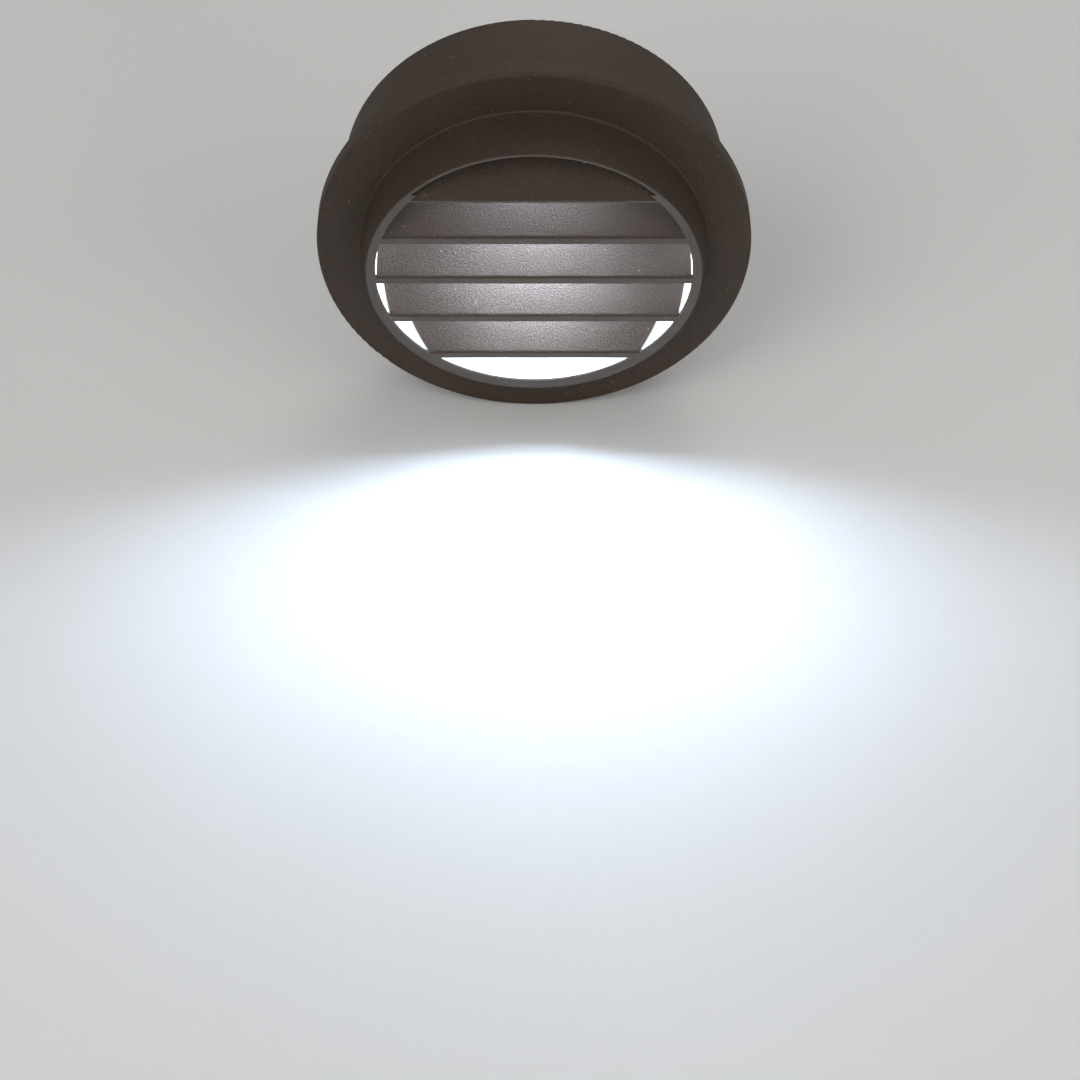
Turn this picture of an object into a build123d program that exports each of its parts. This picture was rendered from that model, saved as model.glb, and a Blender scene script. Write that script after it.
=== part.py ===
"""Round surface-mounted louvred deck light, built as an assembly of separate solids.

The wall is the plane Y = 0, the light looks along -Y and +Z is up. The origin is the middle of the
two wall-screw slots, on the back face of the drum. All sizes are millimetres.
"""
import os
from math import cos, pi, radians, sin, tan

from build123d import *

# Sizes of the solids that only cut others
REACH = 400.0
FAR_FRONT_Y = -120.0

# Screws: head radius, head height, shank radius, length; and the holes that go with them
RING_SCREW = (2.1, 1.6, 1.25, 8.5)
GEAR_SCREW = (2.4, 1.8, 1.25, 4.8)
TRAY_SCREW = (2.75, 2.0, 1.25, 9.0)
BOARD_SCREW = (2.5, 1.8, 1.25, 4.5)
EARTH_SCREW = (3.1, 2.2, 1.5, 6.4)
PILOT_R = 1.3
CLEAR_HOLE_R = 1.6
THREAD_GAP = 0.05

# Shapes of every pan head, as shares of its height and radius
HEAD_ROUND = 0.45
CROSS_DEPTH = 0.5
CROSS_LENGTH = 1.2
CROSS_WIDTH = 0.28

# Driving dimensions of the cover
FLANGE_R = 80.0
FLANGE_FACE_Y = -43.0
FLANGE_BACK_Y = -39.2
FLANGE_LIP_WIDTH = 2.5
FLANGE_LIP_BACK_Y = -35.2
HOOD_BASE_R = 63.9
HOOD_MOUTH_R = 61.4
HOOD_BORE_R = 59.5
SHOULDER_R = 64.7
MOUTH_R = 57.8
MOUTH_Y = -57.0
MOUTH_TILT = 5.2
LIP_DEPTH = 1.0
LIP_TOP = 41.2
SPIGOT_R = 67.1
SPIGOT_END_Y = -29.0
MOUTH_OUTER_ROUND = 0.6
MOUTH_INNER_ROUND = 0.25
FLANGE_ROUND = 1.5
HOOD_ROOT_ROUND = 0.8

# Driving dimensions of the louvre blades
BLADE_COUNT = 5
FIRST_NOSE = 37.2
BLADE_PITCH = 20.6
NOSE_HEIGHT = 3.5
NOSE_RECESS = 0.1
BLADE_SLOPE = 40.0
BLADE_DEPTH = 12.6
BLADE_TRIM_R = 57.4
SLAB_SPARE = 5.0
BLADE_UPPER_ROUND = 1.8
BLADE_LOWER_ROUND = 0.2
ROOF_NOSE_HEIGHT = 1.2
ROOF_NOSE_ROUND = 0.5
ROOF_LOWER_SLOPE = 46.0
ROOF_UPPER_SLOPE = 52.0
ROOF_END_Y = -39.8

# Driving dimensions of the drum
DRUM_R = 72.0
DRUM_BORE_R = 69.0
DRUM_BAND_R = 67.5
DRUM_BAND_Y = -27.0
DRUM_BAND_SLOPE = 1.5
DRUM_FRONT_Y = -38.0
DRUM_BACK_ROUND = 1.0
BACK_WALL = 4.0
SLOT_SPACING = 100.0
SLOT_LENGTH = 12.0
SLOT_WIDTH = 5.0
GROOVE_OUT_R = 68.0
GROOVE_IN_R = 62.5
GROOVE_DEPTH = 2.0
COVER_GASKET_INSET = 0.5
ENTRY_R = 7.0
ENTRY_Z = -36.0
EARTH_BOSS_R = 4.5
EARTH_BOSS_HIGH = 3.0
GEAR_BOSS_R = 3.2
GEAR_BOSS_HIGH = 1.0
PILOT_FLOOR = 1.0
GEAR_FLOOR_Y = -BACK_WALL - GEAR_BOSS_HIGH

# Locking screws: radial, through the thick front band of the drum
LOCK_ANGLES = (-90.0, 30.0, 150.0)
LOCK_Y = -33.0
LOCK_R = 2.0
LOCK_LENGTH = 4.0
LOCK_TIP_R = 67.35
LOCK_SOCKET_R = 1.15
LOCK_SOCKET_DEPTH = 1.2
LOCK_HOLE_SPARE = 2.0

# Optics
WINDOW_FRONT_Y = -38.0
WINDOW_THICK = 2.0
WINDOW_R = 64.0
SKIRT_R = 59.3
SKIRT_BORE_R = 58.0
SKIRT_GAP = 0.2
SKIRT_TOP_BLADE = 1
SKIRT_TOP_GAP = 0.6
RING_THICK = 1.5
RING_BORE_R = 59.2
RING_SCREW_PLACE_R = 62.0
RING_SCREW_ANGLES = (30.0, 90.0, 150.0, 210.0, 270.0, 330.0)
RING_PILOT_DEPTH = 5.0
GASKET_SIDE_GAP = 0.3

# Gear tray and light source
TRAY_Y = -24.0
TRAY_THICK = 1.5
TRAY_R = 65.5
POST_R = 4.0
POST_PLACE_R = 61.5
POST_PILOT_DEPTH = 10.0
POST_ANGLES = (90.0, 210.0, 330.0)
PAD_R = 42.0
PAD_THICK = 0.5
BOARD_R = 43.0
BOARD_THICK = 1.6
BOARD_BACK_Y = TRAY_Y - TRAY_THICK - PAD_THICK
BOARD_FRONT_Y = BOARD_BACK_Y - BOARD_THICK
CHIP_RINGS = ((10.0, 6), (21.0, 12), (32.0, 18))
CHIP_SIZE = (3.5, 0.7, 2.8)
BOARD_SCREW_PLACE_R = 26.5
BOARD_SCREW_ANGLES = (30.0, 150.0, 270.0)
REFLECTOR_FOOT_R = 51.0
REFLECTOR_MOUTH_R = 58.0
REFLECTOR_FRONT_Y = -34.0
REFLECTOR_WALL = 1.2
REFLECTOR_LEDGE = 1.0
REFLECTOR_FOOT_WIDTH = 3.4

# Gear in the drum, as X and Z places on its back wall
DRIVER_SIZE = (56.0, 15.0, 28.0)
DRIVER_PLACE = (0.0, 24.0)
DRIVER_EAR = 9.0
DRIVER_CORNER_ROUND = 2.0
DRIVER_FACE_ROUND = 1.0
DRIVER_HOLE_DEPTH = 2.0
EAR_THICK = 2.0
EAR_ROUND = 3.0
BLOCK_SIZE = (18.0, 9.0, 15.0)
BLOCK_PLACE = (-33.0, -4.5)
POLE_PITCH = 5.6
BLOCK_ROUND = 0.8
POLE_COUNT = 3
CORE_R = 1.5
CORE_DEPTH = 5.0
CORE_Y = -7.6
LEAD_DEPTH = 3.0
LEVER_SIZE = (3.8, 1.6, 7.6)
LEVER_ROUND = 0.72
LEVER_GRIP = (3.8, 0.5, 0.9)
LEVER_FOOT = 1.2
LEVER_SUNK = 0.3
LEVER_SIDE_GAP = 0.2
LEVER_END_GAP = 0.8
LEVER_PIN_R = 0.5
LEVER_PIN_REACH = 0.6
LEVER_PIN_CLEARANCE = 0.06
LEVER_PIN_END_GAP = 0.1
EARTH_PLACE = (27.0, -8.0)
LUG_R = 4.0
LUG_THICK = 1.0
LUG_BARREL_R = 1.6
LUG_BARREL_LENGTH = 6.0
LUG_BARREL_X = -9.5
LUG_BARREL_Y = -BACK_WALL - EARTH_BOSS_HIGH - 1.35
LUG_BORE_DEPTH = 3.5
LUG_GRIP = 2.5
WASHER_R = 3.9
WASHER_THICK = 0.6
CLAMP_PLACE = (0.0, -14.0)
CLAMP_SCREW_SIDE = 9.0
CLAMP_LENGTH = 24.0
CLAMP_WIDTH = 8.0
CLAMP_ARCH = 12.0
CLAMP_HIGH = 9.2
CLAMP_WAY_HIGH = 3.4
CLAMP_SLACK = 0.2
CLAMP_ROUND = 4.0
CABLE_R = 3.6
COLLAR_R = 9.5
COLLAR_THICK = 1.8
GROMMET_NOSE_R = 5.5
GROMMET_REACH = 4.0
GROMMET_CHAMFER = 1.0
WIRE_R = 1.0
WIRE_Y = -11.8
WIRE_GRIP = 2.5
DRIVER_GRIP = 1.5
SUPPLY_LEAD_DROP = 7.0
EARTH_LEAD_DROP = 3.1
BOARD_LEAD_SIDE = 1.5
BOARD_LEAD_END_X = 36.0
LEAD_HOLE_PLACE = (43.5, 20.0)
LEAD_HOLE_R = 3.0


def save(shape, node):
    """Write one node and say how large it is."""
    export_step(shape, f"parts/{node}.step")
    size = shape.bounding_box().size
    print(f"{node}: {size.X:.1f} x {size.Y:.1f} x {size.Z:.1f} mm, {shape.volume:.0f} mm3")


def turned(*points):
    """A solid turned about the lamp's axis from (radius, y) corners."""
    return revolve(make_face(Polyline(*points, close=True)), Axis.Y)


def ring(outer, inner, y_front, y_back):
    """A flat ring about the lamp's axis."""
    return turned((inner, y_front), (outer, y_front), (outer, y_back), (inner, y_back))


def rod(x, z, radius, y_front, y_back):
    """A round bar along Y at one place."""
    length = y_back - y_front
    return Pos(x, y_front + length / 2, z) * Rot(90, 0, 0) * Cylinder(radius, length)


def block(x, y, z, size):
    """A box given by its middle and its three sizes."""
    return Pos(x, y, z) * Box(*size)


def around(radius, angle):
    """X and Z of a point on a circle about the lamp's axis."""
    return radius * cos(radians(angle)), radius * sin(radians(angle))


def mouth_space(inset):
    """All the space in front of the mouth plane, after the plane is moved back by inset."""
    ahead = Pos(0, -REACH / 2, 0) * Box(REACH, REACH, REACH)
    return Pos(0, MOUTH_Y + inset, 0) * Rot(MOUTH_TILT, 0, 0) * ahead


def mouth_point(height, inset):
    """Y and Z of a point on the mouth plane moved back by inset, at a height along that plane."""
    tilt = radians(MOUTH_TILT)
    y = MOUTH_Y - height * sin(tilt) + inset * cos(tilt)
    z = height * cos(tilt) + inset * sin(tilt)
    return y, z


def holes(radius, place_r, angles, y_front, y_back):
    """Round bars at places on a circle about the lamp's axis, to be cut out of a sheet."""
    return [rod(*around(place_r, angle), radius, y_front, y_back) for angle in angles]


def pan_screw(x, z, size, y_seat, facing=-1):
    """A pan-head screw along Y with a cross slot; facing -1 puts the head towards the front."""
    head_r, head_high, shank_r, length = size
    head_end = y_seat + facing * head_high
    tip = y_seat - facing * length
    head = rod(x, z, head_r, min(y_seat, head_end), max(y_seat, head_end))
    head = fillet(head.edges().sort_by(Axis.Y)[0 if facing < 0 else -1], head_high * HEAD_ROUND)
    shank = rod(x, z, shank_r, min(y_seat, tip), max(y_seat, tip))
    long, wide, deep = head_r * CROSS_LENGTH, head_r * CROSS_WIDTH, head_high * CROSS_DEPTH
    cross_y = head_end - facing * deep / 2
    cross = block(x, cross_y, z, (long, deep, wide)) + block(x, cross_y, z, (wide, deep, long))
    return head + shank - cross


def tube_along(points, radius, bends):
    """A round wire along straight runs joined by arcs."""
    path = FilletPolyline(*points, radius=bends)
    start = Plane(origin=path @ 0, z_dir=path % 0)
    wire = sweep(start * Circle(radius), path=path)
    print(f"  wire {path.length:.1f} mm, bend radius {min(bends)} mm, volume ratio "
          f"{wire.volume / (path.length * pi * radius ** 2):.3f}")
    return wire


# The cover that comes off forwards

def cover_hood():
    """The hood, with its mouth leaning out at the top and a thin lip round the lower part of the mouth."""
    long_y = MOUTH_Y - HOOD_MOUTH_R * tan(radians(MOUTH_TILT)) - 1
    draft = (HOOD_BASE_R - HOOD_MOUTH_R) / (FLANGE_FACE_Y - MOUTH_Y)
    long_r = HOOD_BASE_R - draft * (FLANGE_FACE_Y - long_y)
    body = turned(
        (MOUTH_R, long_y),
        (long_r, long_y),
        (HOOD_BASE_R, FLANGE_FACE_Y),
        (SHOULDER_R, FLANGE_FACE_Y),
        (SHOULDER_R, FLANGE_BACK_Y),
        (MOUTH_R, FLANGE_BACK_Y),
    )
    body -= mouth_space(0)
    mouth_edges = sorted(filter(on_mouth, body.edges()), key=lambda edge: edge.length)
    body = fillet(mouth_edges[-1], MOUTH_OUTER_ROUND)
    mouth_edges = sorted(filter(on_mouth, body.edges()), key=lambda edge: edge.length)
    body = fillet(mouth_edges[0], MOUTH_INNER_ROUND)
    bore = rod(0, 0, HOOD_BORE_R, long_y, FLANGE_BACK_Y)
    body -= bore - mouth_space(LIP_DEPTH)
    body -= bore & above_lip()
    body = fillet(circles(body, HOOD_BASE_R, FLANGE_FACE_Y), HOOD_ROOT_ROUND)
    pilot_end = FLANGE_BACK_Y - RING_PILOT_DEPTH
    return body - holes(PILOT_R, RING_SCREW_PLACE_R, RING_SCREW_ANGLES, pilot_end, FLANGE_BACK_Y)


def above_lip():
    """All the space above the lip's upper ends."""
    z = mouth_point(LIP_TOP, 0)[1]
    return Pos(0, 0, z + REACH / 2) * Box(REACH, REACH, REACH)


def cover_flange():
    """The flat flange with its turned-back outer edge."""
    lip_in_r = FLANGE_R - FLANGE_LIP_WIDTH
    body = turned(
        (SHOULDER_R, FLANGE_FACE_Y),
        (FLANGE_R, FLANGE_FACE_Y),
        (FLANGE_R, FLANGE_LIP_BACK_Y),
        (lip_in_r, FLANGE_LIP_BACK_Y),
        (lip_in_r, FLANGE_BACK_Y),
        (SHOULDER_R, FLANGE_BACK_Y),
    )
    return fillet(circles(body, FLANGE_R, FLANGE_FACE_Y), FLANGE_ROUND)


def cover_spigot():
    """The ring behind the flange that slides into the drum."""
    return ring(SPIGOT_R, SHOULDER_R, FLANGE_BACK_Y, SPIGOT_END_Y)


def on_mouth(edge):
    """True for an edge that lies in the mouth plane."""
    tilt = radians(MOUTH_TILT)
    for place in (0.1, 0.35, 0.6, 0.85):
        point = edge @ place
        distance = (point.Y - MOUTH_Y) * cos(tilt) + point.Z * sin(tilt)
        if abs(distance) > 0.01:
            return False
    return True


def circles(body, radius, y):
    """The edges of this radius about the lamp's axis at this depth."""
    found = []
    for edge in body.edges():
        points = (edge @ 0.1, edge @ 0.6)
        misses = [abs(point.Y - y) + abs((point.X ** 2 + point.Z ** 2) ** 0.5 - radius) for point in points]
        if max(misses) < 0.01:
            found.append(edge)
    return found


def blade_slab(index, nose_height, lower_slope, upper_slope, back_y, upper_round):
    """One sloping slat with a rounded nose, as wide as the hood, before it is trimmed."""
    low = FIRST_NOSE - index * BLADE_PITCH
    low_y, low_z = mouth_point(low, NOSE_RECESS)
    high_y, high_z = mouth_point(low + nose_height, NOSE_RECESS)
    outline = Polyline(
        (0, low_y, low_z),
        (0, high_y, high_z),
        (0, back_y, high_z + (back_y - high_y) * tan(radians(upper_slope))),
        (0, back_y, low_z + (back_y - low_y) * tan(radians(lower_slope))),
        close=True,
    )
    half = HOOD_MOUTH_R + SLAB_SPARE
    slab = extrude(make_face(outline), amount=half, dir=(1, 0, 0), both=True)
    slab = fillet(long_edge(slab, high_y, high_z), upper_round)
    return fillet(long_edge(slab, low_y, low_z), BLADE_LOWER_ROUND)


def long_edge(slab, y, z):
    """The edge along X at one place of a slat's outline."""
    return [edge for edge in slab.edges().filter_by(Axis.X)
            if abs(edge.center().Y - y) < 0.01 and abs(edge.center().Z - z) < 0.01]


def louvre_blade(index):
    """Blades two to five touch the mouth's lip at their front corners and stand clear behind it."""
    back_y = mouth_point(FIRST_NOSE - index * BLADE_PITCH, NOSE_RECESS)[0] + BLADE_DEPTH
    slab = blade_slab(index, NOSE_HEIGHT, BLADE_SLOPE, BLADE_SLOPE, back_y, BLADE_UPPER_ROUND)
    lip = rod(0, 0, MOUTH_R, FAR_FRONT_Y, WINDOW_FRONT_Y) & mouth_space(LIP_DEPTH)
    behind = rod(0, 0, BLADE_TRIM_R, FAR_FRONT_Y, WINDOW_FRONT_Y)
    return slab & (lip + behind)


def roof_blade():
    """The first blade runs back to the hood's roof and closes the top of the mouth."""
    slab = blade_slab(0, ROOF_NOSE_HEIGHT, ROOF_LOWER_SLOPE, ROOF_UPPER_SLOPE, ROOF_END_Y, ROOF_NOSE_ROUND)
    lip = rod(0, 0, MOUTH_R, FAR_FRONT_Y, WINDOW_FRONT_Y) & mouth_space(LIP_DEPTH)
    behind = rod(0, 0, HOOD_BORE_R, FAR_FRONT_Y, ROOF_END_Y) - mouth_space(LIP_DEPTH)
    return slab & (lip + behind)


def under_blade(index, gap):
    """The space below one of the sloping blades, less a gap."""
    y, z = mouth_point(FIRST_NOSE - index * BLADE_PITCH, NOSE_RECESS)
    below = Pos(0, 0, -REACH / 2 - gap) * Box(REACH, REACH, REACH)
    return Pos(0, y, z) * Rot(BLADE_SLOPE, 0, 0) * below


def diffuser():
    """Opal cup: a flat window with a skirt that lines the hood below the second blade."""
    window_back = WINDOW_FRONT_Y + WINDOW_THICK
    window = rod(0, 0, WINDOW_R, WINDOW_FRONT_Y, window_back)
    skirt = ring(SKIRT_R, SKIRT_BORE_R, FAR_FRONT_Y, WINDOW_FRONT_Y + WINDOW_THICK / 2)
    skirt = (skirt - mouth_space(LIP_DEPTH + SKIRT_GAP)) & under_blade(SKIRT_TOP_BLADE, SKIRT_TOP_GAP)
    ring_holes = holes(CLEAR_HOLE_R, RING_SCREW_PLACE_R, RING_SCREW_ANGLES, WINDOW_FRONT_Y, window_back)
    return window + skirt - ring_holes


def diffuser_gasket():
    """Silicone ring between the flange's inner ledge and the diffuser."""
    gasket = ring(WINDOW_R, SKIRT_R + GASKET_SIDE_GAP, FLANGE_BACK_Y, WINDOW_FRONT_Y)
    return gasket - holes(CLEAR_HOLE_R, RING_SCREW_PLACE_R, RING_SCREW_ANGLES, FLANGE_BACK_Y, WINDOW_FRONT_Y)


def retaining_ring():
    """Steel ring that clamps the diffuser into the cover."""
    front = WINDOW_FRONT_Y + WINDOW_THICK
    back = front + RING_THICK
    clamp = ring(WINDOW_R, RING_BORE_R, front, back)
    return clamp - holes(CLEAR_HOLE_R, RING_SCREW_PLACE_R, RING_SCREW_ANGLES, front, back)


def ring_screws():
    """The screws that hold the retaining ring, driven in from behind."""
    seat = WINDOW_FRONT_Y + WINDOW_THICK + RING_THICK
    places = [around(RING_SCREW_PLACE_R, angle) for angle in RING_SCREW_ANGLES]
    return Compound(children=[pan_screw(x, z, RING_SCREW, seat, facing=1) for x, z in places])


# The drum that stays on the wall

def drum_wall():
    """The drum's round wall with its thick front band and the locking screws' holes."""
    body = turned(
        (DRUM_R, -BACK_WALL),
        (DRUM_R, DRUM_FRONT_Y),
        (DRUM_BAND_R, DRUM_FRONT_Y),
        (DRUM_BAND_R, DRUM_BAND_Y),
        (DRUM_BORE_R, DRUM_BAND_Y + DRUM_BAND_SLOPE),
        (DRUM_BORE_R, -BACK_WALL),
    )
    inner, outer = DRUM_BAND_R - LOCK_HOLE_SPARE, DRUM_R + LOCK_HOLE_SPARE
    for angle in LOCK_ANGLES:
        body -= radial_rod(angle, LOCK_R + THREAD_GAP, inner, outer)
    return body


def drum_back():
    """The drum's back wall with its gasket groove, screw slots, cable hole and pilot holes."""
    body = rod(0, 0, DRUM_R, -BACK_WALL, 0)
    body = fillet(circles(body, DRUM_R, 0), DRUM_BACK_ROUND)
    body -= ring(GROOVE_OUT_R, GROOVE_IN_R, -GROOVE_DEPTH, 0)
    body -= rod(0, ENTRY_Z, ENTRY_R, -BACK_WALL, 0)
    for side in (-1, 1):
        body -= slot_through(side * SLOT_SPACING / 2, 0)
    return body - boss_pilots()


def drum_bosses():
    """The tray's posts and the bosses of the earth screw, the driver and the cable clamp."""
    posts = [rod(x, z, POST_R, TRAY_Y, -BACK_WALL) for x, z in post_places()]
    bosses = [rod(x, z, GEAR_BOSS_R, GEAR_FLOOR_Y, -BACK_WALL) for x, z in gear_screw_places()]
    earth = rod(*EARTH_PLACE, EARTH_BOSS_R, -BACK_WALL - EARTH_BOSS_HIGH, -BACK_WALL)
    return Compound(children=[(solid - boss_pilots()).solid() for solid in [*posts, *bosses, earth]])


def boss_pilots():
    """The screws' pilot holes in the posts and bosses; those of the bosses end in the back wall."""
    pilots = [rod(x, z, PILOT_R, TRAY_Y, TRAY_Y + POST_PILOT_DEPTH) for x, z in post_places()]
    pilots += [rod(x, z, PILOT_R, GEAR_FLOOR_Y, -PILOT_FLOOR) for x, z in gear_screw_places()]
    earth_face = -BACK_WALL - EARTH_BOSS_HIGH
    return pilots + [rod(*EARTH_PLACE, EARTH_SCREW[2] + THREAD_GAP, earth_face, -PILOT_FLOOR)]


def post_places():
    """X and Z of the gear tray's posts."""
    return [around(POST_PLACE_R, angle) for angle in POST_ANGLES]


def slot_through(x, z):
    """A round-ended slot along X through the back wall."""
    straight = SLOT_LENGTH - SLOT_WIDTH
    cut = block(x, -BACK_WALL / 2, z, (straight, BACK_WALL, SLOT_WIDTH))
    cut += rod(x - straight / 2, z, SLOT_WIDTH / 2, -BACK_WALL, 0)
    cut += rod(x + straight / 2, z, SLOT_WIDTH / 2, -BACK_WALL, 0)
    return cut


def radial_rod(angle, radius, inner, outer):
    """A round bar pointing away from the lamp's axis at the locking screws' depth."""
    length = outer - inner
    return Rot(0, -angle, 0) * Pos(inner + length / 2, LOCK_Y, 0) * Rot(0, 90, 0) * Cylinder(radius, length)


def gear_screw_places():
    """X and Z of the screws that hold the driver and the cable clamp."""
    driver_x, driver_z = DRIVER_PLACE
    ear_x = DRIVER_SIZE[0] / 2 + DRIVER_EAR / 2
    clamp_x, clamp_z = CLAMP_PLACE
    return [
        (driver_x - ear_x, driver_z),
        (driver_x + ear_x, driver_z),
        (clamp_x - CLAMP_SCREW_SIDE, clamp_z),
        (clamp_x + CLAMP_SCREW_SIDE, clamp_z),
    ]


def lock_screw(angle):
    """A hexagon-socket set screw in the drum's band, clear of the cover's spigot."""
    screw = radial_rod(angle, LOCK_R, LOCK_TIP_R, LOCK_TIP_R + LOCK_LENGTH)
    socket = extrude(RegularPolygon(LOCK_SOCKET_R, 6), amount=LOCK_SOCKET_DEPTH, both=True)
    socket = Rot(0, -angle, 0) * Pos(LOCK_TIP_R + LOCK_LENGTH, LOCK_Y, 0) * Rot(0, 90, 0) * socket
    return screw - socket


def wall_gasket():
    """Foam ring in the groove of the drum's back face."""
    return ring(GROOVE_OUT_R, GROOVE_IN_R, -GROOVE_DEPTH, 0)


def cover_gasket():
    """Silicone ring between the drum's front edge and the flange."""
    return ring(DRUM_R - COVER_GASKET_INSET, DRUM_BAND_R + COVER_GASKET_INSET, FLANGE_BACK_Y, DRUM_FRONT_Y)


def cable_grommet():
    """Rubber grommet in the cable hole, with its inner collar in the drum."""
    collar_front = -BACK_WALL - COLLAR_THICK
    nose_front = -BACK_WALL - GROMMET_REACH
    plug = rod(0, ENTRY_Z, ENTRY_R, -BACK_WALL, 0)
    collar = rod(0, ENTRY_Z, COLLAR_R, collar_front, -BACK_WALL)
    nose = rod(0, ENTRY_Z, GROMMET_NOSE_R, nose_front, collar_front)
    nose = chamfer(nose.edges().sort_by(Axis.Y)[0], GROMMET_CHAMFER)
    return plug + collar + nose - rod(0, ENTRY_Z, CABLE_R, nose_front, 0)


def cable_clamp():
    """Saddle that will press the cable's sheath against the back wall."""
    x, z = CLAMP_PLACE
    floor = GEAR_FLOOR_Y
    way_r = CABLE_R + CLAMP_SLACK
    way_y = floor - CLAMP_WAY_HIGH
    strap = block(x, floor - EAR_THICK / 2, z, (CLAMP_LENGTH, EAR_THICK, CLAMP_WIDTH))
    arch = block(x, floor - CLAMP_HIGH / 2, z, (CLAMP_ARCH, CLAMP_HIGH, CLAMP_WIDTH))
    arch = fillet(arch.edges().filter_by(Axis.Z).sort_by(Axis.Y)[:2], CLAMP_ROUND)
    way = Pos(x, way_y, z) * Cylinder(way_r, CLAMP_WIDTH)
    way += block(x, (floor + way_y) / 2, z, (2 * way_r, CLAMP_WAY_HIGH, CLAMP_WIDTH))
    saddle = strap + arch - way
    for screw_x, screw_z in gear_screw_places()[2:]:
        saddle -= rod(screw_x, screw_z, CLEAR_HOLE_R, floor - EAR_THICK, floor)
    return saddle


def clamp_screws():
    """Two screws of the cable clamp."""
    seat = GEAR_FLOOR_Y - EAR_THICK
    return Compound(children=[pan_screw(x, z, GEAR_SCREW, seat) for x, z in gear_screw_places()[2:]])


def led_driver():
    """Potted driver in a closed case with two screw ears."""
    x, z = DRIVER_PLACE
    wide, deep, tall = DRIVER_SIZE
    floor = GEAR_FLOOR_Y
    case = block(x, floor - deep / 2, z, DRIVER_SIZE)
    case = fillet(case.edges().filter_by(Axis.Y), DRIVER_CORNER_ROUND)
    case = fillet(case.faces().sort_by(Axis.Y)[0].edges(), DRIVER_FACE_ROUND)
    ears = block(x, floor - EAR_THICK / 2, z, (wide + 2 * DRIVER_EAR, EAR_THICK, DRIVER_EAR))
    ears = fillet(ears.edges().filter_by(Axis.Y), EAR_ROUND)
    case += ears
    for ear_x, ear_z in gear_screw_places()[:2]:
        case -= rod(ear_x, ear_z, CLEAR_HOLE_R, floor - EAR_THICK, floor)
    for height in (z - SUPPLY_LEAD_DROP, z):
        case -= hole_along_x(x - wide / 2, height)
    for side in (-1, 1):
        case -= hole_along_x(x + wide / 2, LEAD_HOLE_PLACE[1] + side * BOARD_LEAD_SIDE)
    return case


def hole_along_x(x, z):
    """A lead's short hole into the end of the driver."""
    return Pos(x, WIRE_Y, z) * Rot(0, 90, 0) * Cylinder(WIRE_R + THREAD_GAP, 2 * DRIVER_HOLE_DEPTH)


def driver_screws():
    """Two screws through the driver's ears."""
    seat = GEAR_FLOOR_Y - EAR_THICK
    return Compound(children=[pan_screw(x, z, GEAR_SCREW, seat) for x, z in gear_screw_places()[:2]])


def pole_x(index):
    """X of one pole of the terminal block."""
    return BLOCK_PLACE[0] + (index - 1) * POLE_PITCH


def terminal_block():
    """Three-pole block with a lever pocket, a cable mouth and a lead hole at each pole."""
    x, z = BLOCK_PLACE
    wide, deep, tall = BLOCK_SIZE
    back = -BACK_WALL
    front = back - deep
    body = block(x, back - deep / 2, z, BLOCK_SIZE)
    body = fillet(body.edges().filter_by(Axis.Y), BLOCK_ROUND)
    low_z = z - tall / 2
    lead_z = z + tall / 2 - LEAD_DEPTH / 2
    wide_lever, thick_lever, tall_lever = LEVER_SIZE
    pocket = (wide_lever + 2 * LEVER_SIDE_GAP, thick_lever + 2 * LEVER_SUNK, tall_lever + 2 * LEVER_END_GAP)
    pocket_z = low_z + LEVER_FOOT + (tall_lever + LEVER_END_GAP) / 2
    for index in range(POLE_COUNT):
        centre = pole_x(index)
        body -= block(centre, front + pocket[1] / 2, pocket_z, pocket)
        body -= lever_pin(index, LEVER_PIN_R + LEVER_PIN_CLEARANCE, LEVER_PIN_REACH + LEVER_PIN_END_GAP)
        body -= Pos(centre, CORE_Y, low_z + CORE_DEPTH / 2) * Cylinder(CORE_R, CORE_DEPTH)
        body -= Pos(centre, WIRE_Y, lead_z) * Cylinder(WIRE_R + THREAD_GAP, LEAD_DEPTH)
    return body


def lever_hinge(index):
    """X, Y and Z of one lever's hinge line."""
    x, z = BLOCK_PLACE
    front = -BACK_WALL - BLOCK_SIZE[1]
    low_z = z - BLOCK_SIZE[2] / 2
    return pole_x(index), front + LEVER_SIZE[1] / 2 + LEVER_SUNK, low_z + LEVER_SIZE[2] + LEVER_FOOT


def lever_pin(index, radius, reach):
    """The pin line of one lever, standing out of the lever's sides by reach."""
    x, y, z = lever_hinge(index)
    return Pos(x, y, z) * Rot(0, 90, 0) * Cylinder(radius, LEVER_SIZE[0] + 2 * reach)


def terminal_lever(index):
    """Lever that lies in its pocket and swings up about the two stub pins at its top end."""
    x, y, z = lever_hinge(index)
    wide, thick, tall = LEVER_SIZE
    arm = block(x, y, z - tall / 2 + thick / 2, (wide, thick, tall))
    arm = fillet(arm.edges().filter_by(Axis.X), LEVER_ROUND)
    grip = block(x, y - thick / 2, z - tall + thick + LEVER_GRIP[2], LEVER_GRIP)
    return arm + grip + lever_pin(index, LEVER_PIN_R, LEVER_PIN_REACH)


def earth_screw():
    """Earth screw with a pressed-on toothed washer."""
    x, z = EARTH_PLACE
    seat = -BACK_WALL - EARTH_BOSS_HIGH - LUG_THICK
    washer = rod(x, z, WASHER_R, seat - WASHER_THICK, seat)
    return pan_screw(x, z, EARTH_SCREW, seat - WASHER_THICK) + washer


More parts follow.
